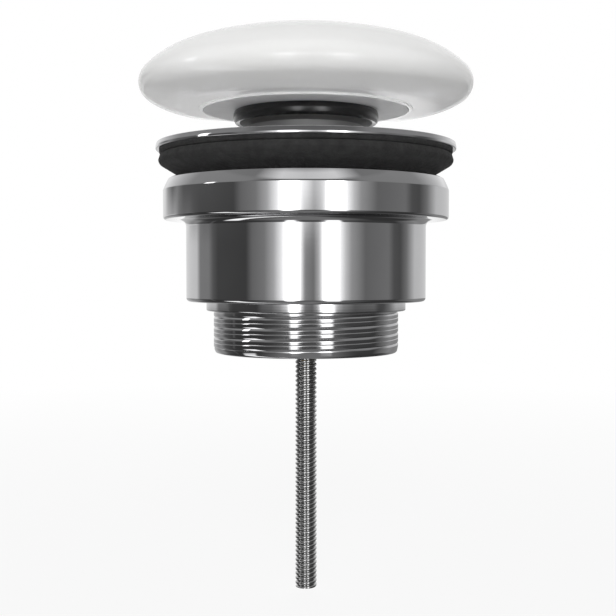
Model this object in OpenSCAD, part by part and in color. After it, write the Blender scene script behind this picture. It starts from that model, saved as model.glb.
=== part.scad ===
// Push-to-open basin waste with a ceramic cap and a long central tie rod. Millimetres.
// Axis on Z. z = 0 is the underside of the flange rim, where the waste bears on the basin.
// Drawn open: the cap is up and the lower body is pulled tight under the flange.

/* [Cap] */
// outside diameter of the ceramic cap
cap_d = 75; // [73:0.1:78]
// height of the ceramic cap above its foot
cap_h = 18.15; // [17:0.05:20]
// small radius round the rim of the cap
cap_rim_r = 3.9; // [3.4:0.1:4.4]
// diameter of the bright edge where the foot of the cap ends
cap_foot_d = 46.4; // [44:0.2:49]
// open gap between the basin seat plane and the foot of the cap
cap_lift = 9.1; // [8.9:0.05:11]

/* [Plug] */
// diameter of the black plug seal
seal_d = 32.8; // [31:0.1:34]
// height of the black plug seal
seal_h = 3.1; // [2.6:0.05:3.2]
// diameter of the disc that carries the seal
carrier_d = 26.2; // [24:0.1:27]
// diameter of the plunger stem
stem_d = 6; // [5.6:0.1:6.4]
// distance the cap goes down to close
travel = 7.5; // [6.8:0.1:7.5]

/* [Flange] */
// outside diameter of the flange
flange_d = 67.6; // [66.4:0.2:72]
// thickness of the flange at its rim
flange_t = 1.5; // [1.3:0.05:1.6]
// outside diameter of the spigot under the flange
spigot_d = 43; // [42:0.1:43.8]
// wall of the spigot
spigot_wall = 2.5; // [2:0.1:3]
// length of the spigot below the basin seat
spigot_len = 24; // [22:0.5:26]

/* [Seals] */
// thickness of the seal under the flange
flange_seal_t = 1; // [0.8:0.1:1.6]
// outside diameter of the seal under the flange
flange_seal_d = 66.2; // [64:0.2:67.4]
// height of the cone gasket on the lower body
gasket_h = 5.4; // [4.4:0.1:6.2]

/* [Lower body] */
// outside diameter of the ring at the top of the lower body
ring_d = 64.4; // [63.4:0.2:68]
// height of the ring
ring_h = 9.15; // [8:0.05:11]
// outside diameter of the barrel
barrel_d = 54.2; // [53.4:0.2:57]
// depth of the lower body from its top face to the foot of the barrel
body_h = 27.4; // [26.5:0.05:30]
// wall of the barrel
barrel_wall = 2.8; // [2.2:0.1:3.1]

/* [Tail] */
// major diameter of the G1 1/4 tail thread
tail_d = 41.91; // [41:0.01:43]
// diameter of the collar above the thread
collar_d = 45.2; // [44:0.1:47]
// height of the collar above the thread
collar_h = 2.1; // [1.8:0.05:3]
// length of the threaded tail
tail_len = 9.5; // [9:0.1:14]
// bore of the tail
tail_bore_d = 35.2; // [34.4:0.1:36]

/* [Tie rod] */
// outside diameter of the tie rod
rod_d = 4.83; // [4.4:0.01:5.2]
// length of the tie rod under its head
rod_len = 64.35; // [56:0.05:90]
// diameter of the slotted head
rod_head_d = 8.4; // [8:0.1:8.8]
// size across flats of the captive nut
nut_af = 8; // [7.6:0.1:8.8]

/* [Fits] */
// radial running fit of shafts in bores
run_fit = 0.05; // [0.03:0.01:0.08]
// radial room between pieces that pass each other
free_gap = 0.35; // [0.3:0.05:0.5]

/* [Hidden] */
$fn = 96;
fine = 0.02;

// cap arcs: dome, shoulder and rim, each tangent to the next
foot_z = cap_lift;
apex_z = cap_lift + cap_h;
cap_r = cap_d / 2;
rim_angle = 45;
shoulder_angle = 72;
under_angle = 57;
rim_z = foot_z + cap_h * 0.3174;
rim_c = [cap_r - cap_rim_r, rim_z];
// the dome meets the axis at the apex, which fixes the shoulder radius
u1 = [cos(rim_angle), sin(rim_angle)];
u2 = [cos(shoulder_angle), sin(shoulder_angle)];
dome_a = rim_c + cap_rim_r * u1;
dome_k = (1 - sin(shoulder_angle)) / cos(shoulder_angle);
shoulder_r = (apex_z - dome_a[1] - dome_k * dome_a[0]) / (1 - u1[1] - dome_k * u1[0]);
shoulder_c = dome_a - shoulder_r * u1;
dome_r = shoulder_r + shoulder_c[0] / u2[0];
dome_c = [0, apex_z - dome_r];
under_r = (rim_z - foot_z - cap_rim_r * sin(under_angle)) / (1 - sin(under_angle));
under_c = [rim_c[0] - (under_r - cap_rim_r) * cos(under_angle), foot_z + under_r];
foot_r = cap_foot_d / 2;
plate_t = 2.4;
plate_r = foot_r - 0.6;
socket_r = 6;
socket_h = 10.5;
socket_top = foot_z + socket_h;
glue = 0.05;

// plug stack below the foot plane
carrier_h = 3.05;
seal_dish = 0.8;
seal_top = foot_z;
seal_low = seal_top - seal_h;
carrier_top = seal_low + seal_dish;
carrier_low = carrier_top - carrier_h;
seal_r = seal_d / 2;
carrier_r = carrier_d / 2;
stem_r = stem_d / 2;
stem_grip = 8.5;
stem_top = foot_z + stem_grip;
rivet_r = stem_r - 0.1;

// flange
flange_r = flange_d / 2;
spigot_r = spigot_d / 2;
spigot_in = spigot_r - spigot_wall;
seat_r = seal_r + free_gap;
seat_top = -0.6;
seat_low = -3.2;
mouth_r = seat_r + 2.75;
crown_r = flange_r - 2.1;

// click cartridge, measured down from the closed cap
gland_top = carrier_low - travel - 0.45;
gland_lip = 1;
gland_h = 4;
gland_low = gland_top - gland_h;
sleeve_top = gland_top - gland_lip;
chamber_r = 6;
gland_r = chamber_r + 0.6;
sleeve_r = 7.5;
rib_in = 4.7;
lug_r = chamber_r - free_gap;
core_r = rib_in - free_gap;
pilot_r = 2;
crown_h = 4;
rotor_h = 5.5;
lug_drop = 1.7;
rib_drop = 2;
crown_top = gland_low - 0.2;
crown_low = crown_top - crown_h;
rotor_top = crown_low - free_gap;
rotor_low = rotor_top - rotor_h;
lug_top = rotor_top - lug_drop;
rib_low = lug_top - rib_drop;
washer_t = 0.6;
washer_low = rotor_low - washer_t;
rivet_h = 1.3;
spring_shut = 4.6;
sleeve_floor = 1.2;
stem_low = washer_low - rivet_h;
spring_floor = washer_low - travel - spring_shut;
sleeve_low = spring_floor - sleeve_floor;
spring_r = 4.2;
wire_r = 0.35;
spring_turns = 5;
tooth_w = 0.7;
tooth_d = 0.8;
lug_span = 20;
groove_span = 40;
lug_start = -17;
wiper_w = 1.25;
wiper_h = 1.3;
wiper_low = gland_low + 1.25;

// hub that holds the cartridge and the head of the rod
hub_r = sleeve_r + 2;
collar_drop = 8.8;
collar_low = sleeve_top - collar_drop;
collar_t = 3;
hub_top = collar_low;
sleeve_ring_drop = 2.4;
sleeve_ring_z = hub_top - sleeve_ring_drop;
sleeve_ring_r = 0.9;
rod_r = rod_d / 2;
head_h = 2.4;
head_r = rod_head_d / 2;
head_top = sleeve_low - 0.6;
head_low = head_top - head_h;
tie_washer_t = 0.6;
tie_washer_low = head_low - tie_washer_t;
pocket_r = head_r + 0.8;
hub_floor = 2.8;
hub_low = tie_washer_low - hub_floor;
rod_low = head_low - rod_len;
arm_w = 3;
arm_high = -17;

// lower body
gasket_top = -flange_seal_t;
gasket_low = gasket_top - gasket_h;
body_top = gasket_low;
ring_low = body_top - ring_h;
body_low = body_top - body_h;
ring_r = ring_d / 2;
barrel_r = barrel_d / 2;
barrel_in = barrel_r - barrel_wall;
body_floor = 4;
fillet_r = 1.5;
edge_r = 0.6;
collar_r = collar_d / 2;
collar_end = body_low - collar_h;
tail_low = collar_end - tail_len;
tail_r = tail_d / 2;
tail_bore = tail_bore_d / 2;
neck_r = tail_bore + 2.3;
tail_hub_r = nut_af / sqrt(3) + 2.2;
tail_hub_top = hub_low - 0.6;
nut_h = 3.2;
nut_top = tail_hub_top - 1.8;
nut_low = nut_top - nut_h;
tail_hub_low = nut_low;
oring_r = 0.9;

ceramic_cap();
cap_base_plate();
cap_socket();
plug_seal();
seal_carrier();
plunger_stem();
push_crown();
index_rotor();
thrust_washer();
click_spring();
cartridge_sleeve();
cartridge_gland();
stem_wiper();
sleeve_o_ring();
waste_flange();
flange_seal();
body_gasket();
body_housing();
tail_piece();
tail_o_ring();
tie_rod();
tie_washer();
tie_nut();

// a tube or disc from z0 up to z1
module ring(r_out, r_in, z0, z1) {
    translate([0, 0, z0])
    difference() {
        cylinder(r = r_out, h = z1 - z0);
        translate([0, 0, -1]) cylinder(r = r_in, h = z1 - z0 + 2);
    }
}

// a true circle kept between two rays from its centre
module sector(c, r, a0, a1) {
    far = 3 * r;
    am = (a0 + a1) / 2;
    intersection() {
        translate(c) circle(r = r);
        polygon([c, c + far * [cos(a0), sin(a0)], c + far * [cos(am), sin(am)], c + far * [cos(a1), sin(a1)]]);
    }
}

// a block of a ring, r_in to r_out, from angle a0 to a1
module block(r_out, r_in, a0, a1, z0, z1) {
    am = (a0 + a1) / 2;
    far = 2 * r_out;
    translate([0, 0, z0])
    linear_extrude(height = z1 - z0)
    intersection() {
        difference() {
            circle(r = r_out);
            circle(r = r_in);
        }
        polygon([[0, 0], far * [cos(a0), sin(a0)], far * [cos(am), sin(am)], far * [cos(a1), sin(a1)]]);
    }
}

// radial V-shaped notches in a ring face at height z, open upwards or, with up = -1, downwards
module notches(z, turn, up) {
    long = lug_r + 1;
    for (k = [0:3])
        rotate([0, 0, k * 45 + turn])
        translate([0, long, z])
        rotate([90, 0, 0])
        linear_extrude(height = 2 * long)
        polygon([[-2 * tooth_w, up * tooth_d], [0, -up * tooth_d], [2 * tooth_w, up * tooth_d]]);
}

// flat outline of a toothed ring: a core with four lugs from angle a0 to a1, bored through
module lugged(a0, a1, bore) {
    am = (a0 + a1) / 2;
    far = 2 * lug_r;
    difference() {
        union() {
            circle(r = core_r);
            for (k = [0:3])
                rotate([0, 0, k * 90])
                intersection() {
                    circle(r = lug_r);
                    polygon([[0, 0], far * [cos(a0), sin(a0)], far * [cos(am), sin(am)], far * [cos(a1), sin(a1)]]);
                }
        }
        circle(r = bore);
    }
}

// half section of the ceramic cap
module cap_section() {
    j1 = shoulder_c + shoulder_r * u1;
    j2 = dome_c + dome_r * u2;
    difference() {
        union() {
            intersection() {
                sector(dome_c, dome_r, shoulder_angle, 90);
                translate([0, foot_z]) square([cap_r, cap_h]);
            }
            intersection() {
                sector(shoulder_c, shoulder_r, rim_angle, shoulder_angle);
                translate([0, foot_z]) square([cap_r, cap_h]);
            }
            sector(rim_c, cap_rim_r, -under_angle, rim_angle);
            intersection() {
                sector(under_c, under_r, -90, -under_angle);
                translate([under_c[0], foot_z]) square([cap_r, rim_z - foot_z]);
            }
            polygon([[0, foot_z], [under_c[0], foot_z], rim_c, j1, shoulder_c + 0.5 * shoulder_r * u2, j2, [0, j2[1]]]);
        }
        translate([-1, foot_z - 1]) square([foot_r + 1, plate_t + 1.1]);
        translate([-1, foot_z]) square([socket_r + glue + 1, socket_top - foot_z + 0.3]);
    }
}

module ceramic_cap() {
    color("White")
    rotate_extrude()
    cap_section();
}

module cap_base_plate() {
    color("Gray")
    ring(plate_r, stem_r + glue, foot_z, foot_z + plate_t);
}

module cap_socket() {
    color("Goldenrod")
    difference() {
        translate([0, 0, foot_z + plate_t]) cylinder(r = socket_r, h = socket_top - foot_z - plate_t);
        translate([0, 0, foot_z]) cylinder(r = stem_r + glue, h = stem_top - foot_z + 0.5);
    }
}

// the seal's underside is hollow, so its outer lip hangs below the disc that carries it
module plug_seal() {
    lip = seal_r - 1.4;
    color("Black")
    rotate_extrude()
    polygon([[stem_r + glue, carrier_top], [carrier_r + glue, carrier_top], [lip - 0.4, seal_low], [lip, seal_low],
        [seal_r - 0.3, seal_low + 1], [seal_r, seal_low + 1.7], [seal_r, seal_top - 0.25], [seal_r - 0.25, seal_top],
        [stem_r + glue, seal_top]]);
}

// two steps: a thin head disc under the seal and a body a little smaller
module seal_carrier() {
    head = 1.15;
    step = 0.3;
    color("DimGray")
    rotate_extrude()
    polygon([[stem_r + glue, carrier_low], [carrier_r - 2 * step, carrier_low], [carrier_r - step, carrier_low + step],
        [carrier_r - step, carrier_top - head], [carrier_r, carrier_top - head + 0.15], [carrier_r, carrier_top],
        [stem_r + glue, carrier_top]]);
}

module plunger_stem() {
    color("Silver")
    rotate_extrude()
    polygon([[0, stem_low], [rivet_r, stem_low], [rivet_r, washer_low], [pilot_r, washer_low], [pilot_r, crown_top],
        [stem_r, crown_top], [stem_r, stem_top - 0.6], [stem_r - 0.6, stem_top], [0, stem_top]]);
}

module push_crown() {
    tab = groove_span / 2 - 5;
    color("WhiteSmoke")
    difference() {
        translate([0, 0, crown_low])
        linear_extrude(height = crown_top - crown_low)
        lugged(-tab, tab, pilot_r + glue);
        notches(crown_low, 0, -1);
    }
}

module index_rotor() {
    bore = pilot_r + run_fit;
    color("WhiteSmoke")
    union() {
        translate([0, 0, rotor_low])
        linear_extrude(height = lug_top - rotor_low)
        lugged(lug_start, lug_start + lug_span, bore);
        difference() {
            ring(core_r, bore, lug_top, rotor_top);
            notches(rotor_top, 22.5, 1);
        }
    }
}

module thrust_washer() {
    color("Silver")
    ring(spring_r + 0.9, pilot_r + glue, washer_low, rotor_low);
}

// round wire swept along a helix, its ends flattened onto the two seats
function coil_z(t) = spring_floor + wire_r + (washer_low - spring_floor - 2 * wire_r) * min(1, max(0, (t - 0.1) / 0.8));
function coil_point(t, b) =
    let (a = 360 * spring_turns * t, r = spring_r + wire_r * cos(b))
    [r * cos(a), r * sin(a), coil_z(t) + wire_r * sin(b)];

module click_spring() {
    n = 24 * spring_turns;
    m = 8;
    pts = [for (i = [0:n]) for (j = [0:m - 1]) coil_point(i / n, 360 * j / m)];
    sides = [for (i = [0:n - 1]) for (j = [0:m - 1])
        [i * m + j, (i + 1) * m + j, (i + 1) * m + (j + 1) % m, i * m + (j + 1) % m]];
    start = [[for (j = [0:m - 1]) j]];
    end = [[for (j = [m - 1:-1:0]) n * m + j]];
    color("Silver")
    polyhedron(points = pts, faces = concat(sides, start, end), convexity = 10);
}

module cartridge_sleeve() {
    color("Goldenrod")
    difference() {
        union() {
            ring(sleeve_r, chamber_r, sleeve_low, sleeve_top);
            ring(sleeve_r, pilot_r, sleeve_low, spring_floor);
            difference() {
                translate([0, 0, collar_low]) cylinder(r = hub_r + 0.5, h = collar_t, $fn = 6);
                translate([0, 0, collar_low - 1]) cylinder(r = sleeve_r - 0.5, h = collar_t + 2);
            }
            difference() {
                for (k = [0:3])
                    block(chamber_r + 0.4, rib_in, k * 90 + groove_span / 2, k * 90 + 90 - groove_span / 2,
                        rib_low, gland_low);
                for (k = [0:3])
                    rotate([0, 0, k * 90 + 45])
                    translate([0, 0, rib_low - 0.6])
                    rotate([28, 0, 0])
                    translate([0, 0, -6])
                    cube([20, 20, 6]);
            }
        }
        translate([0, 0, gland_low]) cylinder(r = gland_r + glue, h = 20);
        translate([0, 0, sleeve_ring_z]) sleeve_groove();
    }
}

// groove for the ring that seals the sleeve in the hub
module sleeve_groove() {
    ring(sleeve_r + 2, sleeve_r - sleeve_ring_r, -sleeve_ring_r, sleeve_ring_r);
}

module cartridge_gland() {
    color("WhiteSmoke")
    difference() {
        union() {
            translate([0, 0, gland_low]) cylinder(r = gland_r, h = gland_h);
            translate([0, 0, sleeve_top]) cylinder(r = sleeve_r, h = gland_lip);
        }
        translate([0, 0, gland_low - 1]) cylinder(r = stem_r + run_fit, h = gland_h + 2);
        ring(stem_r + wiper_w + glue, stem_r - 1, wiper_low - glue, wiper_low + wiper_h + glue);
    }
}

module stem_wiper() {
    color("Black")
    ring(stem_r + wiper_w, stem_r + run_fit, wiper_low, wiper_low + wiper_h);
}

module sleeve_o_ring() {
    color("Black")
    translate([0, 0, sleeve_ring_z])
    ring(sleeve_r + fine, sleeve_r - sleeve_ring_r + glue, -sleeve_ring_r + glue, sleeve_ring_r - glue);
}

module waste_flange() {
    color("LightSteelBlue")
    difference() {
        union() {
            rotate_extrude()
            polygon([[spigot_in, -spigot_len], [spigot_r, -spigot_len], [spigot_r, 0],
                [flange_r - 0.3, 0], [flange_r, 0.3], [flange_r, flange_t - 0.45],
                [flange_r - 0.3, flange_t - 0.1], [flange_r - 0.8, flange_t], [crown_r, flange_t - 0.2],
                [mouth_r, 0.85], [seat_r, seat_top], [seat_r, seat_low],
                [spigot_in, seat_low - (spigot_in - seat_r)]]);
            translate([0, 0, hub_low]) cylinder(r = hub_r, h = hub_top - hub_low);
            for (k = [0:2])
                rotate([0, 0, 60 + 120 * k])
                translate([hub_r - 1, -arm_w / 2, -spigot_len])
                cube([spigot_in - hub_r + 1.6, arm_w, arm_high + spigot_len]);
        }
        translate([0, 0, sleeve_low]) cylinder(r = sleeve_r + glue, h = hub_top - sleeve_low + 1);
        translate([0, 0, tie_washer_low]) cylinder(r = pocket_r, h = hub_top - tie_washer_low);
        translate([0, 0, hub_low - 1]) cylinder(r = rod_r + run_fit, h = hub_floor + 2);
    }
}

module flange_seal() {
    color("Black")
    ring(flange_seal_d / 2, spigot_r + free_gap, gasket_top, 0);
}

module body_gasket() {
    g = flange_seal_d / 2;
    color("Black")
    rotate_extrude()
    polygon([[spigot_r + 0.5, gasket_low], [g - 5.6, gasket_low], [g + 0.1, gasket_top - 2],
        [g + 0.1, gasket_top - 1.25], [g - 0.3, gasket_top], [spigot_r + 0.5, gasket_top]]);
}

module body_housing() {
    c = [barrel_r + fillet_r, ring_low - fillet_r];
    color("LightSteelBlue")
    rotate_extrude()
    difference() {
        polygon([[neck_r + glue, body_low], [barrel_r - edge_r, body_low], [barrel_r, body_low + edge_r],
            [barrel_r, c[1]], [c[0], c[1]], [c[0], ring_low], [ring_r - edge_r, ring_low],
            [ring_r, ring_low + edge_r], [ring_r, body_top - 2.6], [ring_r - 1.2, body_top],
            [barrel_in, body_top], [barrel_in, body_low + body_floor], [neck_r + glue, body_low + body_floor]]);
        translate(c) circle(r = fillet_r);
    }
}

module tail_piece() {
    end_r = 0.9;
    color("LightSteelBlue")
    difference() {
        union() {
            rotate_extrude()
            polygon([[tail_bore, tail_low], [tail_r - end_r, tail_low], [tail_r, tail_low + end_r],
                [tail_r, collar_end], [collar_r - 0.3, collar_end], [collar_r, collar_end + 0.3],
                [collar_r, body_low], [neck_r, body_low], [neck_r, body_low + body_floor],
                [tail_bore, body_low + body_floor]]);
            translate([0, 0, tail_hub_low]) cylinder(r = tail_hub_r, h = tail_hub_top - tail_hub_low);
            for (k = [0:2])
                rotate([0, 0, 60 + 120 * k])
                translate([tail_hub_r - 1, -arm_w / 2, tail_hub_low])
                cube([tail_bore - tail_hub_r + 1.6, arm_w, tail_hub_top - tail_hub_low]);
        }
        translate([0, 0, nut_low - 1]) cylinder(r = nut_af / sqrt(3) + glue, h = nut_h + 1, $fn = 6);
        translate([0, 0, nut_low]) cylinder(r = rod_r + free_gap, h = 20);
        translate([0, 0, body_low + 2]) ring(neck_r + 2, neck_r - oring_r, -oring_r, oring_r);
    }
}

module tail_o_ring() {
    color("Black")
    translate([0, 0, body_low + 2])
    ring(neck_r + 0.02, neck_r - oring_r + 0.05, -oring_r + 0.05, oring_r - 0.05);
}

module tie_rod() {
    color("Silver")
    difference() {
        union() {
            translate([0, 0, head_low]) cylinder(r = head_r, h = head_h);
            translate([0, 0, rod_low + 0.5]) cylinder(r = rod_r, h = rod_len - 0.4);
            translate([0, 0, rod_low]) cylinder(r1 = rod_r - 0.4, r2 = rod_r, h = 0.5 + fine);
        }
        translate([-head_r - 1, -0.6, head_top - 1.2]) cube([2 * head_r + 2, 1.2, 2]);
    }
}

module tie_washer() {
    color("Silver")
    ring(head_r + 0.4, rod_r + free_gap, tie_washer_low, head_low);
}

module tie_nut() {
    color("Goldenrod")
    difference() {
        translate([0, 0, nut_low]) cylinder(r = nut_af / sqrt(3), h = nut_h, $fn = 6);
        translate([0, 0, nut_low - 1]) cylinder(r = rod_r + run_fit, h = nut_h + 2);
    }
}
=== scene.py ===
# %% [markdown]
# # A push-to-open basin waste
# The real thing is a stack of turned pieces on one axis: a glazed cap, black seals, chromed
# brass and a long threaded rod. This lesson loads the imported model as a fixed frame, makes the
# pieces that show with bmesh operators, and gives each one the finish of the real material.

# %% Load the frame
import math

import bmesh
import bpy
from mathutils import Matrix, Vector


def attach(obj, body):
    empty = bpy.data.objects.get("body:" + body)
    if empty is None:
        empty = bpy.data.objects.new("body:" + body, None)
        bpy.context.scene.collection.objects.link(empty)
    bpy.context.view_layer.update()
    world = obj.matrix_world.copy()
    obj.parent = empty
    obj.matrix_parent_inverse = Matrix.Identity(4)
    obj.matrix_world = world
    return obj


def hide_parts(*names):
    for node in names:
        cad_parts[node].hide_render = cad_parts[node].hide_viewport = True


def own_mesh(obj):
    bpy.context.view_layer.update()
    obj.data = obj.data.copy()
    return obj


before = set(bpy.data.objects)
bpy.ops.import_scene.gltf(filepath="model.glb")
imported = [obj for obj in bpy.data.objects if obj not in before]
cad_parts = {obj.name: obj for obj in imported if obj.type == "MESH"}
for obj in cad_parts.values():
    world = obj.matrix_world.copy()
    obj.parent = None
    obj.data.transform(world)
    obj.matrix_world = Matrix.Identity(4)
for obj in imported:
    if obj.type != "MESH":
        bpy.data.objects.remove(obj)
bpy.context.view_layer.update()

MM = 0.001

# %% [markdown]
# ## The camera
# The picture was taken from close by and from a little below the flange, so the cap is seen from
# underneath and the tail from above. The focal length and the place were worked out from the
# widths of the rings, which shrink with their distance from the lens. The view is tilted a
# little downwards, so no lens shift is needed.

# %% Camera
FOCAL_PX, PICTURE_PX, SENSOR_MM = 1053.0, 616.0, 36.0
CAMERA_SPOT, CAMERA_DIP = (0.00046, -0.240, -0.02675), 2.07
cam_data = bpy.data.cameras.new("camera")
cam_data.sensor_width = SENSOR_MM
cam_data.lens = SENSOR_MM * FOCAL_PX / PICTURE_PX
cam_data.clip_start = 0.01
cam = bpy.data.objects.new("camera", cam_data)
bpy.context.scene.collection.objects.link(cam)
cam.location = CAMERA_SPOT
cam.rotation_euler = (math.radians(90.0 - CAMERA_DIP), 0.0, 0.0)
bpy.context.scene.camera = cam
bpy.context.scene.view_settings.view_transform = "Standard"
print("lens", round(cam_data.lens, 2), "mm")

# %% [markdown]
# ## Shared helpers
# Nearly every piece is turned on a lathe, so the main helper does what a lathe does: it takes a
# half section, spins it once round the axis and rounds chosen rings with a bevel. Arcs in a
# section are made by spinning one vertex about the arc's centre.

# %% Lathe helpers
TURN_STEPS, MERGE_DIST, RING_TOLERANCE = 192, 1e-7, 2e-6


def everything(bm):
    return list(bm.verts) + list(bm.edges) + list(bm.faces)


def verts_of(geom):
    return [v for v in geom if isinstance(v, bmesh.types.BMVert)]


def ease_edges(bm, edges, size, segments):
    """Round edges with a bevel of the given size in mm."""
    bmesh.ops.bevel(bm, geom=edges, offset=size * MM, offset_type="OFFSET", segments=segments,
                    profile=0.5, affect="EDGES", clamp_overlap=True, material=-1)


def spin_edges(bm, geom, steps=TURN_STEPS):
    """One full turn about Z, closed into itself."""
    bmesh.ops.spin(bm, geom=geom, cent=(0, 0, 0), axis=(0, 0, 1), angle=2 * math.pi,
                   steps=steps, use_merge=True)
    bmesh.ops.remove_doubles(bm, verts=bm.verts, dist=MERGE_DIST)
    bmesh.ops.recalc_face_normals(bm, faces=bm.faces)


def ring_edges(bm, r, z):
    """The edges of the circle of radius r at height z, both in mm."""
    def on(v):
        off_radius = abs(math.hypot(v.co.x, v.co.y) - r * MM)
        return off_radius < RING_TOLERANCE and abs(v.co.z - z * MM) < RING_TOLERANCE
    return [e for e in bm.edges if on(e.verts[0]) and on(e.verts[1])]


def round_rings(bm, rounds, segments=4):
    """Bevel the named circles: (radius, height, size) in mm."""
    for r, z, size in rounds:
        ease_edges(bm, ring_edges(bm, r, z), size, segments)


def with_support(section, rounds, gap=0.06):
    """Add a point just past each rounded corner, so flat walls keep flat shading."""
    sizes = {(r, z): size for r, z, size in rounds}
    points = []
    for a, b in zip(section, section[1:] + section[:1]):
        points.append(a)
        span = math.dist(a, b)
        near, far = (sizes[p] + gap if p in sizes else 0.0 for p in (a, b))
        if span > near + far + gap:
            marks = [near] * (near > 0) + [span - far] * (far > 0)
            points += [(a[0] + (b[0] - a[0]) * m / span, a[1] + (b[1] - a[1]) * m / span)
                       for m in marks]
    return points


def lathe(section, rounds=(), steps=TURN_STEPS, segments=4):
    """A closed solid of revolution from a half section given as (radius, height) in mm."""
    bm = bmesh.new()
    verts = [bm.verts.new((r * MM, 0.0, z * MM)) for r, z in with_support(section, rounds)]
    loop = zip(verts, verts[1:] + verts[:1])
    edges = [bm.edges.new(pair) for pair in loop if pair[0].co.x > 1e-9 or pair[1].co.x > 1e-9]
    spin_edges(bm, verts + edges, steps)
    round_rings(bm, rounds, segments)
    return bm


def sweep_vertex(bm, vert, centre, degrees, steps):
    """Carry a vertex along an arc about centre (radius, height); returns the arc's last vertex."""
    made = bmesh.ops.spin(bm, geom=[vert], cent=(centre[0] * MM, 0, centre[1] * MM),
                          axis=(0, 1, 0), angle=math.radians(degrees), steps=steps)
    return verts_of(made["geom_last"])[0]


def add_shell(bm, other):
    """Add another bmesh's shell to this one."""
    mesh = bpy.data.meshes.new("shell")
    other.to_mesh(mesh)
    other.free()
    bm.from_mesh(mesh)
    bpy.data.meshes.remove(mesh)


def make_piece(name, bm, body, finish, nodes=(), crease=32.0):
    """Turn a bmesh into a piece that rides on a body and stands for the named CAD nodes."""
    mesh = bpy.data.meshes.new(name)
    for face in bm.faces:
        face.smooth = True
    bm.to_mesh(mesh)
    bm.free()
    mesh.set_sharp_from_angle(angle=math.radians(crease))
    mesh.materials.append(finish)
    piece = bpy.data.objects.new(name, mesh)
    bpy.context.scene.collection.objects.link(piece)
    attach(piece, body)
    if nodes:
        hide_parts(*nodes)
    print(name, len(mesh.polygons), "faces on", body)
    return piece


print("a full turn takes", TURN_STEPS, "steps")

# %% [markdown]
# ## Finishes
# Turned metal shows very fine rings that follow the tool, and handled metal shows faint smudges.
# Both are used by several finishes, so each is a node group that puts out one value. The rings
# depend only on the distance from the axis and the height, which the group works out from Object
# coordinates.

# %% Node groups
def new_group(name, inputs, outputs):
    group = bpy.data.node_groups.new(name, "ShaderNodeTree")
    for label, value in inputs:
        socket = group.interface.new_socket(label, in_out="INPUT", socket_type="NodeSocketFloat")
        socket.default_value = value
    for label in outputs:
        group.interface.new_socket(label, in_out="OUTPUT", socket_type="NodeSocketFloat")
    return group, group.nodes.new("NodeGroupInput"), group.nodes.new("NodeGroupOutput")


def math_node(nodes, links, operation, a, b=None):
    node = nodes.new("ShaderNodeMath")
    node.operation = operation
    for index, value in enumerate((a, b)):
        if value is None:
            continue
        if isinstance(value, (int, float)):
            node.inputs[index].default_value = value
        else:
            links.new(value, node.inputs[index])
    return node.outputs[0]


def turning_rings_group():
    group, g_in, g_out = new_group("turning rings", [("Density", 3000.0)], ["Rings"])
    nodes, links = group.nodes, group.links
    coord = nodes.new("ShaderNodeTexCoord")
    split = nodes.new("ShaderNodeSeparateXYZ")
    links.new(coord.outputs["Object"], split.inputs[0])
    x2 = math_node(nodes, links, "MULTIPLY", split.outputs[0], split.outputs[0])
    y2 = math_node(nodes, links, "MULTIPLY", split.outputs[1], split.outputs[1])
    radius = math_node(nodes, links, "SQRT", math_node(nodes, links, "ADD", x2, y2))
    join = nodes.new("ShaderNodeCombineXYZ")
    links.new(radius, join.inputs[0])
    links.new(split.outputs[2], join.inputs[2])
    noise = nodes.new("ShaderNodeTexNoise")
    noise.inputs["Detail"].default_value = 2.0
    links.new(g_in.outputs["Density"], noise.inputs["Scale"])
    links.new(join.outputs[0], noise.inputs["Vector"])
    links.new(noise.outputs["Fac"], g_out.inputs["Rings"])
    return group


def mottle_group():
    inputs = [("Scale", 60.0), ("Low", 0.0), ("High", 1.0)]
    group, g_in, g_out = new_group("mottle", inputs, ["Value"])
    nodes, links = group.nodes, group.links
    coord = nodes.new("ShaderNodeTexCoord")
    noise = nodes.new("ShaderNodeTexNoise")
    noise.inputs["Detail"].default_value = 5.0
    noise.inputs["Roughness"].default_value = 0.6
    spread = nodes.new("ShaderNodeMapRange")
    spread.inputs["From Min"].default_value = 0.3
    spread.inputs["From Max"].default_value = 0.7
    links.new(coord.outputs["Object"], noise.inputs["Vector"])
    links.new(g_in.outputs["Scale"], noise.inputs["Scale"])
    links.new(noise.outputs["Fac"], spread.inputs["Value"])
    links.new(g_in.outputs["Low"], spread.inputs["To Min"])
    links.new(g_in.outputs["High"], spread.inputs["To Max"])
    links.new(spread.outputs[0], g_out.inputs["Value"])
    return group


TURNING_RINGS = turning_rings_group()
MOTTLE = mottle_group()


def place_group(mat, group, **values):
    node = mat.node_tree.nodes.new("ShaderNodeGroup")
    node.node_tree = group
    for label, value in values.items():
        node.inputs[label].default_value = value
    return node.outputs[0]


def add_bump(mat, height, strength, depth_mm):
    bump = mat.node_tree.nodes.new("ShaderNodeBump")
    bump.inputs["Strength"].default_value = strength
    bump.inputs["Distance"].default_value = depth_mm * MM
    mat.node_tree.links.new(height, bump.inputs["Height"])
    return bump.outputs["Normal"]


def two_tone(mat, value, dark, light):
    mix = mat.node_tree.nodes.new("ShaderNodeMix")
    mix.data_type = "RGBA"
    mix.inputs["A"].default_value = (*dark, 1.0)
    mix.inputs["B"].default_value = (*light, 1.0)
    mat.node_tree.links.new(value, mix.inputs["Factor"])
    return mix.outputs["Result"]


def new_finish(name, **sockets):
    mat = bpy.data.materials.new(name)
    mat.use_nodes = True
    shader = mat.node_tree.nodes["Principled BSDF"]
    for label, value in sockets.items():
        shader.inputs[label.replace("_", " ")].default_value = value
    return mat, shader, mat.node_tree.links


print("groups:", [g.name for g in bpy.data.node_groups])

# %% [markdown]
# Chrome is a mirror with a slight blue-grey tint. Its roughness changes a little where it has
# been handled, and fine turning rings stay under the plating. The other metals are made the same
# way, with other colours, more roughness and deeper rings.

# %% Metal finishes
RING_BUMP = 0.35


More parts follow.
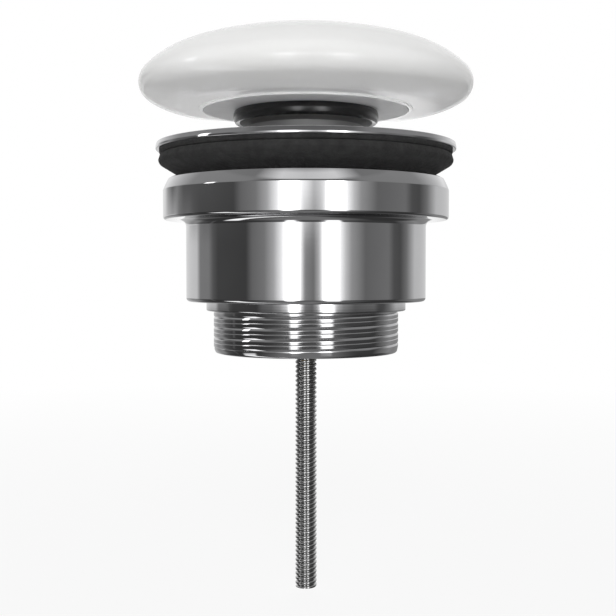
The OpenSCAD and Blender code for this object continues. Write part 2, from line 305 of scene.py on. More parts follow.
def grey(value):
    return (value, value, value)


def turned_metal(name, dark, light, rough, rings, ring_depth, smudge=70.0):
    mat, shader, links = new_finish(name, Metallic=1.0)
    tone = place_group(mat, MOTTLE, Scale=smudge * 0.6)
    links.new(two_tone(mat, tone, dark, light), shader.inputs["Base Color"])
    gloss = place_group(mat, MOTTLE, Scale=smudge, Low=rough[0], High=rough[1])
    links.new(gloss, shader.inputs["Roughness"])
    lines = place_group(mat, TURNING_RINGS, Density=rings)
    links.new(add_bump(mat, lines, RING_BUMP, ring_depth), shader.inputs["Normal"])
    return mat


chrome = turned_metal("polished chrome", (0.56, 0.56, 0.57), (0.62, 0.62, 0.63), (0.045, 0.085),
                      rings=1400.0, ring_depth=0.004)
zinc_steel = turned_metal("zinc plated steel", grey(0.5), grey(0.6), (0.13, 0.2),
                          rings=2500.0, ring_depth=0.006, smudge=260.0)
satin_metal = turned_metal("satin metal", grey(0.32), grey(0.38), (0.58, 0.68),
                           rings=2500.0, ring_depth=0.012)
brass = turned_metal("turned brass", (0.62, 0.43, 0.17), (0.74, 0.54, 0.25), (0.18, 0.3),
                     rings=2500.0, ring_depth=0.012, smudge=160.0)
spring_wire = turned_metal("drawn spring wire", (0.4, 0.4, 0.42), (0.5, 0.5, 0.52), (0.2, 0.3),
                           rings=2500.0, ring_depth=0.006, smudge=300.0)
print("metals ready")

# %% [markdown]
# The glaze is glass over white clay: a soft white body under a clear, very smooth coat, with a
# faint waviness that bends highlights. The two rubbers differ: the plug seal is moulded smooth,
# the gasket under the flange is sponge with open pores.


# %% Glaze, rubber and plastic finishes
def soft_finish(name, dark, light, rough, grain, depth, strength, tone_scale=90.0, **sockets):
    mat, shader, links = new_finish(name, **sockets)
    tone = place_group(mat, MOTTLE, Scale=tone_scale)
    links.new(two_tone(mat, tone, dark, light), shader.inputs["Base Color"])
    gloss = place_group(mat, MOTTLE, Scale=grain * 0.3, Low=rough[0], High=rough[1])
    links.new(gloss, shader.inputs["Roughness"])
    pores = place_group(mat, MOTTLE, Scale=grain)
    links.new(add_bump(mat, pores, strength, depth), shader.inputs["Normal"])
    return mat


glaze = soft_finish("white glaze", (0.84, 0.84, 0.83), (0.88, 0.88, 0.875), (0.14, 0.2),
                    grain=120.0, depth=0.01, strength=0.25, tone_scale=50.0, Coat_Weight=1.0,
                    Coat_Roughness=0.015, Coat_IOR=1.5, Specular_IOR_Level=0.0)
sponge_rubber = soft_finish("sponge rubber", grey(0.016), grey(0.03), (0.72, 0.95),
                            grain=1500.0, depth=0.12, strength=0.8, tone_scale=500.0)
seal_rubber = soft_finish("moulded rubber", grey(0.008), grey(0.014), (0.18, 0.25),
                          grain=700.0, depth=0.01, strength=0.3)
grey_plastic = soft_finish("grey plastic", grey(0.44), grey(0.5), (0.4, 0.5),
                           grain=900.0, depth=0.015, strength=0.4)
acetal = soft_finish("natural acetal", (0.72, 0.72, 0.69), (0.8, 0.8, 0.77), (0.35, 0.45),
                     grain=600.0, depth=0.01, strength=0.3)
print("finishes:", len(bpy.data.materials))

# %% [markdown]
# ## The ceramic cap
# The cap is one smooth dome: a flat crown, a shoulder and a tight rim, with a softer curve
# underneath that runs in to the foot. Each is an arc tangent to the next, so one vertex is swept
# along the arcs in turn and the curve is spun round the axis.

# %% Ceramic cap
FOOT_Z, APEX_Z, CAP_R, RIM_R = 9.1, 27.25, 37.5, 3.9
RIM_Z = FOOT_Z + (APEX_Z - FOOT_Z) * 0.3174
RIM_ANGLE, SHOULDER_ANGLE, UNDER_ANGLE, LIP = 45.0, 72.0, 57.0, 0.35
FOOT_R, RECESS_R, RECESS_Z = 24.15, 23.2, FOOT_Z + 2.5
SOCKET_R, SOCKET_Z, FOOT_EASE = 6.05, FOOT_Z + 10.8, 0.2


def heading(degrees):
    return math.cos(math.radians(degrees)), math.sin(math.radians(degrees))


def ceramic_cap_shell():
    c1, s1 = heading(RIM_ANGLE)
    c2, s2 = heading(SHOULDER_ANGLE)
    cu, su = heading(UNDER_ANGLE)
    rim = (CAP_R - RIM_R, RIM_Z)
    join = (rim[0] + RIM_R * c1, rim[1] + RIM_R * s1)
    k = (1 - s2) / c2
    shoulder_r = (APEX_Z - join[1] - k * join[0]) / (1 - s1 - k * c1)
    shoulder = (join[0] - shoulder_r * c1, join[1] - shoulder_r * s1)
    dome_r = shoulder_r + shoulder[0] / c2
    under_r = (RIM_Z - FOOT_Z - LIP - RIM_R * su) / (1 - su)
    under = (rim[0] - (under_r - RIM_R) * cu, FOOT_Z + LIP + under_r)
    bm = bmesh.new()
    tip = bm.verts.new((0, 0, APEX_Z * MM))
    tip = sweep_vertex(bm, tip, (0, APEX_Z - dome_r), 90 - SHOULDER_ANGLE, 14)
    tip = sweep_vertex(bm, tip, shoulder, SHOULDER_ANGLE - RIM_ANGLE, 14)
    tip = sweep_vertex(bm, tip, rim, RIM_ANGLE + UNDER_ANGLE, 22)
    tip = sweep_vertex(bm, tip, under, 90 - UNDER_ANGLE, 10)
    for r, z in ((FOOT_R, FOOT_Z + LIP), (FOOT_R, FOOT_Z), (RECESS_R, FOOT_Z), (RECESS_R, RECESS_Z),
                 (SOCKET_R, RECESS_Z), (SOCKET_R, SOCKET_Z), (0.0, SOCKET_Z)):
        nxt = bm.verts.new((r * MM, 0, z * MM))
        bm.edges.new((tip, nxt))
        tip = nxt
    spin_edges(bm, everything(bm))
    round_rings(bm, [(FOOT_R, FOOT_Z, FOOT_EASE), (RECESS_R, FOOT_Z, FOOT_EASE)])
    return bm


make_piece("cap_dome", ceramic_cap_shell(), "cap", glaze, ["ceramic_cap"])

# %% [markdown]
# ## Under the cap
# A grey disc fills the cap's foot, the black plug seal hangs below it and a metal disc carries
# the seal on its rim. The stem runs down from the cap into the cartridge, where a washer sits
# between the click rotor and the spring. All five are plain turnings, so each is one half section
# for the lathe, and the edges that show are eased. The washer stays a hair below the rotor, which
# turns on it.

# %% Base plate, plug seal, carrier, stem and washer
BORE_R, DISC_R, DISC_Z = 3.05, 23.1, FOOT_Z + 2.4
make_piece("base_disc",
           lathe([(BORE_R, FOOT_Z), (DISC_R, FOOT_Z), (DISC_R, DISC_Z), (BORE_R, DISC_Z)],
                 [(DISC_R, FOOT_Z, 0.15)]),
           "cap", grey_plastic, ["cap_base_plate"])
make_piece("plug_ring",
           lathe([(BORE_R, 6.8), (15.0, 6.8), (15.0, 6.35), (15.9, 6.2), (16.3, 6.7), (16.4, 7.5),
                  (16.4, 8.2), (16.1, FOOT_Z), (BORE_R, FOOT_Z)],
                 [(16.1, FOOT_Z, 0.3), (16.4, 8.2, 0.3), (16.4, 7.5, 0.3), (16.3, 6.7, 0.2),
                  (15.9, 6.2, 0.1)]),
           "cap", seal_rubber, ["plug_seal"])
make_piece("carrier_disc",
           lathe([(BORE_R, 3.75), (12.5, 3.75), (12.8, 4.05), (12.8, 5.6), (13.1, 5.75),
                  (14.95, 6.2), (14.95, 6.75), (BORE_R, 6.75)],
                 [(14.95, 6.2, 0.1), (13.1, 5.75, 0.12), (12.8, 4.05, 0.1)]),
           "cap", satin_metal, ["seal_carrier"])
make_piece("stem_shaft",
           lathe([(0, -20.15), (2.9, -20.15), (2.9, -18.85), (2.0, -18.85), (2.0, -8.4),
                  (3.0, -8.4), (3.0, 17.0), (2.4, 17.6), (0, 17.6)], steps=64),
           "cap", zinc_steel, ["plunger_stem"])
make_piece("washer_ring",
           lathe([(2.05, -18.85), (5.1, -18.85), (5.1, -18.3), (2.05, -18.3)],
                 [(5.1, -18.85, 0.1), (5.1, -18.3, 0.1)], steps=64),
           "cap", zinc_steel, ["thrust_washer"])

# %% [markdown]
# ## The flange
# The flange is one casting: a thin rim, a throat that the plug closes, a spigot, and a hub on three
# arms that holds the cartridge and the rod. The rim and the hub are turned, and the arms are blocks
# that reach from one to the other. The rim's edge has a narrow upright band below a face that leans
# in, because the picture shows a thin bright line with a dark one above it.

# %% Flange
SPOKE_TURNS, SPOKE_WIDTH, SPOKE_EASE = (60, 180, 300), 3.0, 0.3


def spoke_blocks(bm, r0, r1, z0, z1):
    """Square arms from radius r0 to r1 and from height z0 to z1, in mm."""
    for turn in SPOKE_TURNS:
        size = Matrix.Diagonal(((r1 - r0) * MM, SPOKE_WIDTH * MM, (z1 - z0) * MM, 1))
        spot = Matrix.Translation(((r0 + r1) / 2 * MM, 0, (z0 + z1) / 2 * MM))
        turned = Matrix.Rotation(math.radians(turn), 4, "Z")
        made = bmesh.ops.create_cube(bm, size=1.0, matrix=turned @ spot @ size)
        ease_edges(bm, list({e for v in made["verts"] for e in v.link_edges}), SPOKE_EASE, 2)


flange_bm = lathe([(19.0, -24.0), (21.5, -24.0), (21.5, 0.0), (33.8, 0.0), (33.8, 0.6), (33.6, 1.5),
                   (31.7, 1.3), (19.5, 0.85), (16.75, -0.6), (16.75, -3.2), (19.0, -5.45)],
                  [(33.8, 0.0, 0.2), (33.8, 0.6, 0.12), (33.6, 1.5, 0.12), (19.5, 0.85, 0.6),
                   (16.75, -0.6, 0.3), (21.5, -24.0, 0.4)], segments=6)
add_shell(flange_bm, lathe([(2.465, -38.55), (9.5, -38.55), (9.5, -14.0), (7.55, -14.0),
                            (7.55, -32.15), (5.0, -32.15), (5.0, -35.75), (2.465, -35.75)],
                           [(9.5, -38.55, 0.5)], steps=96))
spoke_blocks(flange_bm, 9.2, 19.4, -24.0, -17.0)
make_piece("flange_dish", flange_bm, "flange", chrome, ["waste_flange"])

# %% [markdown]
# ## The seals below the flange
# A flat sponge ring lies under the flange and a thicker cone-shaped one sits on the lower body.
# Pressed together they bulge a little and leave a fine dark line between them.

# %% Flange seal and cone gasket
make_piece("flat_seal",
           lathe([(21.85, -1.0), (32.8, -1.0), (33.1, -0.5), (33.0, 0.0), (21.85, 0.0)],
                 [(32.8, -1.0, 0.2), (33.1, -0.5, 0.4)]),
           "flange", sponge_rubber, ["flange_seal"])
make_piece("cone_gasket",
           lathe([(22.0, -6.4), (27.5, -6.4), (33.2, -3.0), (33.2, -2.25), (32.8, -1.0),
                  (22.0, -1.0)],
                 [(33.2, -3.0, 0.7), (33.2, -2.25, 0.5), (32.8, -1.0, 0.25), (27.5, -6.4, 0.4)]),
           "lower_body", sponge_rubber, ["body_gasket"])

# %% [markdown]
# ## The lower body
# The lower body is a polished turning: a ring with a chamfer round its top, a fillet, and a
# plain barrel. The fillet and the eased edges matter, because each catches its own thin line of
# light. The chamfer is slightly domed, so its reflection darkens towards the gasket.

# %% Lower body
CHAMFER = [(32.2, -9.0), (31.938, -8.334), (31.65, -7.678), (31.337, -7.034), (31.0, -6.4)]
make_piece("body_barrel",
           lathe([(19.95, -33.8), (27.1, -33.8), (27.1, -15.55), (32.2, -15.55)] + CHAMFER
                 + [(24.3, -6.4), (24.3, -29.8), (19.95, -29.8)],
                 [(27.1, -15.55, 1.5), (32.2, -15.55, 0.6), (27.1, -33.8, 0.8), (31.0, -6.4, 0.2),
                  (32.2, -9.0, 0.15)], segments=6),
           "lower_body", chrome, ["body_housing"], crease=40.0)

# %% [markdown]
# ## Threads
# A thread is a ridge that climbs as it goes round. One closed cross-section of the ridge is spun
# about the axis while each step also lifts it by a share of the pitch, which is what a screw
# cutter does. The ridge sinks a little into a plain core, so the two read as one piece.


# %% Thread helper
def close_holes(bm):
    bmesh.ops.holes_fill(bm, edges=[e for e in bm.edges if e.is_boundary], sides=0)


def thread_ridge(bm, section, pitch, z_start, turns, steps):
    """Spin a ridge section of (radius, height) points, in mm, up a helix, then stack turns."""
    verts = [bm.verts.new((r * MM, 0, (z_start + z) * MM)) for r, z in section]
    loop = [bm.edges.new(pair) for pair in zip(verts, verts[1:] + verts[:1])]
    bmesh.ops.spin(bm, geom=verts + loop, cent=(0, 0, 0), axis=(0, 0, 1),
                   dvec=(0, 0, pitch * MM / steps), angle=2 * math.pi, steps=steps)
    one_turn = everything(bm)
    for turn in range(1, turns):
        copy = bmesh.ops.duplicate(bm, geom=one_turn)["geom"]
        bmesh.ops.translate(bm, verts=verts_of(copy), vec=(0, 0, turn * pitch * MM))
    bmesh.ops.remove_doubles(bm, verts=bm.verts, dist=MERGE_DIST)
    close_holes(bm)
    bmesh.ops.recalc_face_normals(bm, faces=bm.faces)


def cut_below(bm, z):
    """Cut a closed shell at height z, drop what is below and close the cut."""
    bmesh.ops.bisect_plane(bm, geom=everything(bm), dist=MERGE_DIST, plane_co=(0, 0, z * MM),
                           plane_no=(0, 0, -1), clear_outer=True)
    close_holes(bm)


print("thread helpers ready")

# %% [markdown]
# The tail has the standard waste thread, rolled into thin brass: broad lands with a fine seam along
# the middle, shallow grooves, and an end that is rounded off so that the trap's nut starts easily.
# Steep grooves would send the light straight back and look bright, so their flanks are gentle.
# Inside the tail three arms carry a hub with a hexagonal pocket for the nut.

# %% Tail
TAIL_PITCH, TAIL_ROOT, TAIL_CREST, TAIL_LOW = 2.309, 20.65, 20.955, -45.4
TAIL_BORE, COLLAR_R, NECK_R = 17.6, 22.6, 19.9
COLLAR_LOW, COLLAR_HIGH, NECK_HIGH = -35.9, -33.8, -29.8
LEAD_SLOPE, LEAD_HEIGHT, END_ROUND = 0.2, 1.5, 0.5
HUB_R, HUB_BORE, HUB_LOW, HUB_HIGH = 6.82, 2.77, -40.95, -39.15
POCKET_R, POCKET_DEPTH, POCKET_LOW = 4.67, 3.2, -44.15
# one turn's land: distance from the crest, height
TAIL_LAND = [(-0.8, -1.08), (-0.153, -1.08), (0, -0.8), (0, -0.72), (0, -0.18), (0, -0.1),
             (-0.044, 0.02), (0, 0.1), (0, 0.18), (0, 0.72), (0, 0.8), (-0.153, 1.22), (-0.8, 1.22)]


def tail_shell():
    bm = lathe([(TAIL_BORE, TAIL_LOW), (TAIL_ROOT, TAIL_LOW), (TAIL_ROOT, COLLAR_LOW),
                (COLLAR_R, COLLAR_LOW), (COLLAR_R, COLLAR_HIGH), (NECK_R, COLLAR_HIGH),
                (NECK_R, NECK_HIGH), (TAIL_BORE, NECK_HIGH)],
               [(TAIL_ROOT, TAIL_LOW, 0.5), (TAIL_BORE, TAIL_LOW, 0.3),
                (COLLAR_R, COLLAR_LOW, 0.3)], segments=3)
    ridge = bmesh.new()
    thread_ridge(ridge, [(TAIL_CREST + r, z) for r, z in TAIL_LAND],
                 TAIL_PITCH, TAIL_LOW - 1.2, turns=5, steps=144)
    cut_below(ridge, TAIL_LOW + 0.12)
    for v in ridge.verts:
        height = v.co.z / MM - TAIL_LOW
        inset = max(0.0, END_ROUND - height)
        lead = LEAD_SLOPE * max(0.0, LEAD_HEIGHT - height)
        lead = lead + END_ROUND - math.sqrt(END_ROUND ** 2 - inset ** 2)
        limit = (TAIL_CREST - lead) * MM
        r = math.hypot(v.co.x, v.co.y)
        if r > limit:
            v.co.x *= limit / r
            v.co.y *= limit / r
    add_shell(bm, ridge)
    add_shell(bm, lathe([(HUB_BORE, HUB_LOW), (HUB_R, HUB_LOW), (HUB_R, HUB_HIGH),
                         (HUB_BORE, HUB_HIGH)], steps=96))
    spoke_blocks(bm, 6.5, 17.9, POCKET_LOW, HUB_HIGH)
    return bm


def hex_pocket_wall():
    """The hub's lower wall: round outside, hexagonal inside."""
    bm = bmesh.new()
    bmesh.ops.create_circle(bm, cap_ends=False, radius=HUB_R * MM, segments=96)
    inner = bmesh.ops.create_circle(bm, cap_ends=False, radius=POCKET_R * MM, segments=6)["verts"]
    hexagon = list({e for v in inner for e in v.link_edges})
    bmesh.ops.subdivide_edges(bm, edges=hexagon, cuts=15)
    bmesh.ops.bridge_loops(bm, edges=list(bm.edges))
    lifted = bmesh.ops.extrude_face_region(bm, geom=list(bm.faces), use_keep_orig=True)
    bmesh.ops.translate(bm, verts=verts_of(lifted["geom"]), vec=(0, 0, POCKET_DEPTH * MM))
    bmesh.ops.translate(bm, verts=bm.verts, vec=(0, 0, POCKET_LOW * MM))
    bmesh.ops.recalc_face_normals(bm, faces=bm.faces)
    return bm


tail_bm = tail_shell()
add_shell(tail_bm, hex_pocket_wall())
make_piece("tail_thread", tail_bm, "lower_body", chrome, ["tail_piece"], crease=35.0)

# %% [markdown]
# The tie rod is rolled thread along its whole length. Its head hides in the hub, so it is a plain
# turning here.

# %% Tie rod
ROD_PITCH, ROD_ROOT, ROD_CREST, ROD_LOW = 1.058, 2.1, 2.415, -99.5
HEAD_R, HEAD_LOW, HEAD_HIGH = 4.2, -35.15, -32.75


def rod_shell():
    bm = lathe([(0, ROD_LOW), (ROD_ROOT, ROD_LOW), (ROD_ROOT, HEAD_LOW), (HEAD_R, HEAD_LOW),
                (HEAD_R, HEAD_HIGH), (0, HEAD_HIGH)],
               [(ROD_ROOT, ROD_LOW, 0.2), (HEAD_R, HEAD_HIGH, 0.4)], steps=48)
    ridge = bmesh.new()
    half = [(ROD_CREST, 0.12), (ROD_CREST - 0.03, 0.2), (ROD_CREST - 0.12, 0.28),
            (ROD_ROOT + 0.06, 0.4), (ROD_ROOT - 0.12, 0.46)]
    thread_ridge(ridge, [(r, -z) for r, z in reversed(half)] + half,
                 ROD_PITCH, ROD_LOW - 0.6, turns=60, steps=40)
    cut_below(ridge, ROD_LOW + 0.1)
    add_shell(bm, ridge)
    return bm


make_piece("rod_thread", rod_shell(), "tie_rod", zinc_steel, ["tie_rod"], crease=40.0)

# %% [markdown]
# ## Inside the cartridge
# The coil spring shortens as the cap goes down, so it is a piece of its own with its own copy of
# the mesh. A small circle of wire is spun up five turns.


# %% Spring
SPRING_LOW, SPRING_HIGH, SPRING_R, WIRE_R = -30.6, -19.2, 4.2, 0.35
SPRING_TURNS, SPRING_STEPS = 5, 40


def spring_shell():
    bm = bmesh.new()
    made = bmesh.ops.create_circle(bm, cap_ends=True, radius=WIRE_R * MM, segments=12)
    upright = Matrix.Rotation(math.pi / 2, 4, "X")
    spot = Matrix.Translation((SPRING_R * MM, 0, SPRING_LOW * MM)) @ upright
    bmesh.ops.transform(bm, matrix=spot, verts=made["verts"])
    steps = SPRING_TURNS * SPRING_STEPS
    bmesh.ops.spin(bm, geom=everything(bm), cent=(0, 0, 0), axis=(0, 0, 1),
                   dvec=(0, 0, (SPRING_HIGH - SPRING_LOW) * MM / steps),
                   angle=2 * math.pi * SPRING_TURNS, steps=steps)
    bmesh.ops.recalc_face_normals(bm, faces=bm.faces)
    return bm


spring = make_piece("lift_spring", spring_shell(), "flange", spring_wire,
                    ["click_spring"], crease=60.0)
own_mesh(spring)

# %% [markdown]
# The other inner pieces keep their CAD shapes, which are right as they are, and get the finish
# of their material.

# %% Finishes of the CAD pieces that stay
CAD_FINISH = {
    "cap_socket": brass, "push_crown": acetal, "index_rotor": acetal,
    "cartridge_sleeve": brass, "cartridge_gland": acetal, "stem_wiper": seal_rubber,
    "sleeve_o_ring": seal_rubber, "tail_o_ring": seal_rubber, "tie_washer": zinc_steel,
    "tie_nut": brass,
}
for node, finish in CAD_FINISH.items():
    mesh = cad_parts[node].data
    mesh.materials.clear()
    mesh.materials.append(finish)
print("CAD pieces finished:", len(CAD_FINISH))

# %% [markdown]
# ## World and floor
# The picture has a plain white ground. The world is white to the camera and in reflections and
# much weaker as light, so the lamps decide how bright a surface is and colours come out about as
# they are written. The floor glows white to the camera as well, but near the foot a share of it
# stays matte, which keeps the object's shadow.


# %% Ray helper
def seen_rays(nodes, links):
    """1 for camera, glossy and transmission rays, 0 for the rest."""
    path = nodes.new("ShaderNodeLightPath")
    camera, glossy, through = (path.outputs["Is " + kind + " Ray"]
                               for kind in ("Camera", "Glossy", "Transmission"))
    first = math_node(nodes, links, "MAXIMUM", camera, glossy)
    return math_node(nodes, links, "MAXIMUM", first, through)


# %% World
AMBIENT = 0.14
world = bpy.data.worlds.new("studio")
bpy.context.scene.world = world
world.use_nodes = True
w_nodes, w_links = world.node_tree.nodes, world.node_tree.links
back = w_nodes["Background"]
back.inputs["Color"].default_value = (1.0, 1.0, 1.0, 1.0)
flag = seen_rays(w_nodes, w_links)
scaled = math_node(w_nodes, w_links, "MULTIPLY", flag, 1.0 - AMBIENT)
w_links.new(math_node(w_nodes, w_links, "ADD", scaled, AMBIENT), back.inputs["Strength"])
print("ambient", AMBIENT)

# %% Floor
FLOOR_SIZE, FLOOR_Z, FLOOR_GREY = 3.0, ROD_LOW - 0.05, 0.35
SHADOW_NEAR, SHADOW_FAR, GLOW_NEAR = 0.1, 0.45, 0.9
floor_bm = bmesh.new()
bmesh.ops.create_grid(floor_bm, x_segments=1, y_segments=1, size=FLOOR_SIZE)
bmesh.ops.translate(floor_bm, verts=floor_bm.verts, vec=(0, 0, FLOOR_Z * MM))
floor_mat = bpy.data.materials.new("pale floor")
floor_mat.use_nodes = True
f_nodes, f_links = floor_mat.node_tree.nodes, floor_mat.node_tree.links
matte = f_nodes["Principled BSDF"]
matte.inputs["Base Color"].default_value = (*grey(FLOOR_GREY), 1.0)
matte.inputs["Roughness"].default_value = 0.9
glow = f_nodes.new("ShaderNodeEmission")
glow.inputs["Strength"].default_value = 1.0
blend = f_nodes.new("ShaderNodeMixShader")
f_coord = f_nodes.new("ShaderNodeTexCoord")
f_reach = f_nodes.new("ShaderNodeVectorMath")
f_reach.operation = "LENGTH"
f_links.new(f_coord.outputs["Object"], f_reach.inputs[0])
f_fade = f_nodes.new("ShaderNodeMapRange")
f_fade.inputs["From Min"].default_value = SHADOW_NEAR
f_fade.inputs["From Max"].default_value = SHADOW_FAR
f_fade.inputs["To Min"].default_value = GLOW_NEAR
f_links.new(f_reach.outputs["Value"], f_fade.inputs["Value"])
white = math_node(f_nodes, f_links, "MULTIPLY", seen_rays(f_nodes, f_links), f_fade.outputs[0])
f_links.new(white, blend.inputs[0])
f_links.new(matte.outputs[0], blend.inputs[1])
f_links.new(glow.outputs[0], blend.inputs[2])
f_links.new(blend.outputs[0], f_nodes["Material Output"].inputs["Surface"])
floor_mesh = bpy.data.meshes.new("floor")
floor_bm.to_mesh(floor_mesh)
floor_bm.free()
floor_mesh.materials.append(floor_mat)
floor = bpy.data.objects.new("floor", floor_mesh)
bpy.context.scene.collection.objects.link(floor)
floor.visible_glossy = False
print("floor at", round(FLOOR_Z, 2), "mm")

# %% [markdown]
# ## What the chrome reflects
# Chrome has hardly any colour of its own and shows the room. In the picture that is two bright
# panels either side of the camera with a narrow dark gap between them, dark walls at the sides
# and grey ones further back. A curved screen stands round the object in their place, seen in
# reflections only. Its tones are lists of directions and values, one list for each height,
# because the ring, the barrel and the tail each look at another height of the room. After a matte
# bounce the screen is one plain light, so that the chrome throws light up under the cap.

# %% Studio screen
SCREEN_R, SCREEN_LOW, SCREEN_HIGH = 0.9, -0.8, 2.5
BRIGHTEST, ROOM_LIGHT = 5.0, 5.2
# tone by direction: degrees to the right of the camera as seen from the object, brightness
SIDE_TONES = [(-175, 1.6), (-170, 0.85), (-124, 0.8), (-117, 0.29), (-102, 0.28), (-96, 0.14),
              (-89, 0.08), (-56, 0.07), (-50, 0.2), (-38, 0.28), (-29, 0.6), (-20, 1.6), (-18, 4.5)]
# higher up, where the ring looks, the left wall has a darker band
HIGH_SIDE_TONES = [(-175, 1.6), (-170, 0.85), (-150, 0.9), (-140, 0.42), (-129, 0.17), (-120, 0.3),
                   (-110, 0.14), (-56, 0.09)] + SIDE_TONES[8:]
FRONT_TONES = [(28.5, 4.5), (30.5, 1.7), (36.5, 0.85), (42, 0.45), (56, 0.19), (82, 0.24),
               (89, 0.12), (98, 0.1), (108, 0.24), (123, 0.72), (170, 0.74), (175, 1.6)]
LOW_GAP = [(-7, 4.5), (-5, 1.6), (-1, 0.36), (7, 0.24), (12, 0.66), (15, 1.6), (17, 4.5)]
HIGH_GAP = [(-7, 4.5), (-4, 1.75), (1, 1.34), (6, 0.8), (10.5, 1.0), (15, 1.5), (17, 4.5)]
FOOT_TONES = [(-175, 1.7), (-169, 0.6), (-150, 0.5), (-138, 0.34), (-127, 0.34), (-116, 0.12),
              (-101, 0.06), (-98, 0.14), (-95, 0.05), (-56, 0.05), (-40, 0.07), (-20, 0.14),
              (-17, 1.9), (-11, 1.9), (-8, 0.3), (-4, 0.1), (12, 0.1), (17, 0.35), (20, 1.9),
              (31, 1.9), (34, 0.14), (50, 0.07), (92, 0.06), (107, 0.2), (126, 0.35), (140, 0.3),
              (169, 0.3), (175, 1.7)]
# lower down the back is dimmer, because the glaze under the cap mirrors it at a low angle
DEEP_TONES = [(-175, 0.55)] + FOOT_TONES[1:-1] + [(175, 1.2)]
BELOW_TONES = [(-164, 0.3), (-120, 0.05), (-88, 0.05), (-84, 1.7), (-69, 1.7), (-65, 0.06),
               (-30, 0.24), (30, 0.24), (70, 0.05), (120, 0.05), (164, 0.3)]
UPPER_TONES = [(-150, 0.95), (-110, 0.35), (-50, 0.3), (-36, 0.18), (36, 0.18), (50, 0.3),
               (110, 0.35), (150, 0.95)]
CEILING_TONES = [(-150, 0.95), (-110, 0.3), (-50, 0.25), (-24, 1.0), (0, 0.85), (30, 1.0),
                 (55, 0.25), (110, 0.3), (150, 0.95)]
# zones above the lowest tones: height in metres where each starts and where it is full, its tones
ZONES = [(-0.5, -0.36, DEEP_TONES), (-0.11, -0.1, FOOT_TONES),
         (-0.076, -0.06, SIDE_TONES + LOW_GAP + FRONT_TONES),
         (0.0, 0.06, HIGH_SIDE_TONES + HIGH_GAP + FRONT_TONES), (0.12, 0.2, UPPER_TONES),
         (0.85, 0.95, CEILING_TONES), (1.25, 1.8, UPPER_TONES)]


def tone_colour(tone):
    return (*grey(tone / BRIGHTEST), 1.0)


def tone_ramp(nodes, links, share, tones):
    ramp = nodes.new("ShaderNodeValToRGB")
    stops = ramp.color_ramp.elements
    for index, (degrees, tone) in enumerate(tones):
        position = degrees / 360.0 + 0.5
        stop = stops[index] if index < 2 else stops.new(position)
        stop.position = position
        stop.color = tone_colour(tone)
    links.new(share, ramp.inputs["Fac"])
    return ramp.outputs["Color"]


def height_share(nodes, links, height, low, high):
    span = nodes.new("ShaderNodeMapRange")
    span.inputs["From Min"].default_value = low
    span.inputs["From Max"].default_value = high
    links.new(height, span.inputs["Value"])
    return span.outputs[0]


def blend_tones(nodes, links, share, first, second):
    mix = nodes.new("ShaderNodeMix")
    mix.data_type = "RGBA"
    for label, value in (("Factor", share), ("A", first), ("B", second)):
        links.new(value, mix.inputs[label])
    return mix.outputs["Result"]


def emission_finish(name):
    """A glow with its own tones in reflections, and one plain light after a matte bounce."""
    mat = bpy.data.materials.new(name)
    mat.use_nodes = True
    nodes, links = mat.node_tree.nodes, mat.node_tree.links
    nodes.remove(nodes["Principled BSDF"])
    panel = nodes.new("ShaderNodeEmission")
    panel.inputs["Strength"].default_value = BRIGHTEST
    room = nodes.new("ShaderNodeEmission")
    room.inputs["Strength"].default_value = ROOM_LIGHT
    path, mix = nodes.new("ShaderNodeLightPath"), nodes.new("ShaderNodeMixShader")
    bounced = math_node(nodes, links, "GREATER_THAN", path.outputs["Diffuse Depth"], 0.5)
    links.new(bounced, mix.inputs[0])
    links.new(panel.outputs[0], mix.inputs[1])
    links.new(room.outputs[0], mix.inputs[2])
    links.new(mix.outputs[0], nodes["Material Output"].inputs["Surface"])
    return mat, panel


def toned_finish(name, zones):
    """The lowest tones all over, then each zone's tones from its height upwards."""
    mat, panel = emission_finish(name)
    nodes, links = mat.node_tree.nodes, mat.node_tree.links
    coord = nodes.new("ShaderNodeTexCoord")
    split = nodes.new("ShaderNodeSeparateXYZ")
    links.new(coord.outputs["Object"], split.inputs[0])
    minus_y = math_node(nodes, links, "MULTIPLY", split.outputs[1], -1.0)
    angle = math_node(nodes, links, "ARCTAN2", split.outputs[0], minus_y)
    turn = math_node(nodes, links, "MULTIPLY", angle, 0.5 / math.pi)
    share = math_node(nodes, links, "ADD", turn, 0.5)
    wall = tone_ramp(nodes, links, share, BELOW_TONES)
    for low, high, tones in zones:
        rise = height_share(nodes, links, split.outputs[2], low, high)
        wall = blend_tones(nodes, links, rise, wall, tone_ramp(nodes, links, share, tones))
    links.new(wall, panel.inputs["Color"])
    return mat


def stage_piece(name, bm, mat):
    """A piece of the studio that only reflections show."""
    mesh = bpy.data.meshes.new(name)
    bm.to_mesh(mesh)
    bm.free()
    mesh.materials.append(mat)
    piece = bpy.data.objects.new(name, mesh)
    bpy.context.scene.collection.objects.link(piece)
    piece.visible_camera = False
    piece.visible_diffuse = False
    piece.visible_shadow = False


screen_bm = bmesh.new()
foot = screen_bm.verts.new((0, SCREEN_R, SCREEN_LOW))
head = screen_bm.verts.new((0, SCREEN_R, SCREEN_HIGH))
spin_edges(screen_bm, [foot, head, screen_bm.edges.new((foot, head))], 96)
stage_piece("studio_screen", screen_bm, toned_finish("studio screen", ZONES))
print("screen has", len(ZONES) + 1, "zones")

# %% [markdown]
# The undersides of the ring and of the threads are dark in the picture, so a dark ground closes
# the screen below, and the floor is left out of reflections.

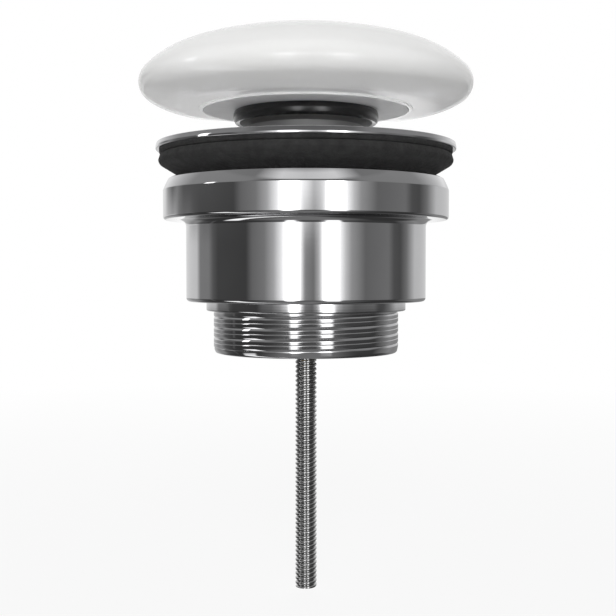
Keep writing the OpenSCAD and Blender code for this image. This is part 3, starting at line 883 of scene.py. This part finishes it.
# %% Dark ground of the studio
ground_bm = bmesh.new()
bmesh.ops.create_circle(ground_bm, cap_ends=True, radius=SCREEN_R, segments=96)
bmesh.ops.translate(ground_bm, verts=ground_bm.verts, vec=(0, 0, SCREEN_LOW))
stage_piece("dark_ground", ground_bm, toned_finish("dark ground", []))
print("ground at", SCREEN_LOW, "m")

# %% [markdown]
# A tall lamp at the left shows as short bright strips on the flange's edge and on the ring. It is
# a plain card in front of the screen.

# %% Tall lamp at the left
CARD_SIDE, CARD_OUT, CARD_MIDDLE = -80.0, 0.86, 0.22
CARD_WIDTH, CARD_HEIGHT, CARD_TONE = 0.14, 0.24, 3.5
card_mat, card_glow = emission_finish("left lamp face")
card_glow.inputs["Color"].default_value = tone_colour(CARD_TONE)
card_bm = bmesh.new()
bmesh.ops.create_grid(card_bm, x_segments=1, y_segments=1, size=0.5)
turned = Matrix.Rotation(math.radians(CARD_SIDE), 4, "Z")
placed = Matrix.Translation((0, -CARD_OUT, CARD_MIDDLE)) @ Matrix.Rotation(math.pi / 2, 4, "X")
sized = Matrix.Diagonal((CARD_WIDTH, CARD_HEIGHT, 1, 1))
bmesh.ops.transform(card_bm, verts=card_bm.verts, matrix=turned @ placed @ sized)
stage_piece("left_lamp_face", card_bm, card_mat)
print("card is", CARD_HEIGHT, "m high")

# %% [markdown]
# ## Lamps
# Soft lamps light the matte surfaces: a key lamp above the camera, weaker ones at the left and
# right, and one at the back, so that every side of the part can be read. They are left out of
# reflections, where the screen stands for them.

# %% Lamps
LAMP_TARGET = Vector((0, 0, 0.01))
# name, place, size in metres, power in watts
LAMPS = [("key_lamp", (0.0, -0.81, 0.44), 0.3, 6.0), ("left_lamp", (-0.85, -0.1, 0.1), 0.6, 1.6),
         ("right_lamp", (0.85, -0.1, 0.1), 0.6, 0.9), ("back_lamp", (0.0, 0.78, 0.42), 0.6, 5.0)]
for name, spot, size, power in LAMPS:
    data = bpy.data.lights.new(name, "AREA")
    data.shape = "DISK"
    data.size = size
    data.energy = power
    lamp = bpy.data.objects.new(name, data)
    lamp.location = spot
    lamp.rotation_euler = (LAMP_TARGET - Vector(spot)).to_track_quat("-Z", "Y").to_euler()
    lamp.visible_glossy = False
    bpy.context.scene.collection.objects.link(lamp)
print("lamps:", len(LAMPS))
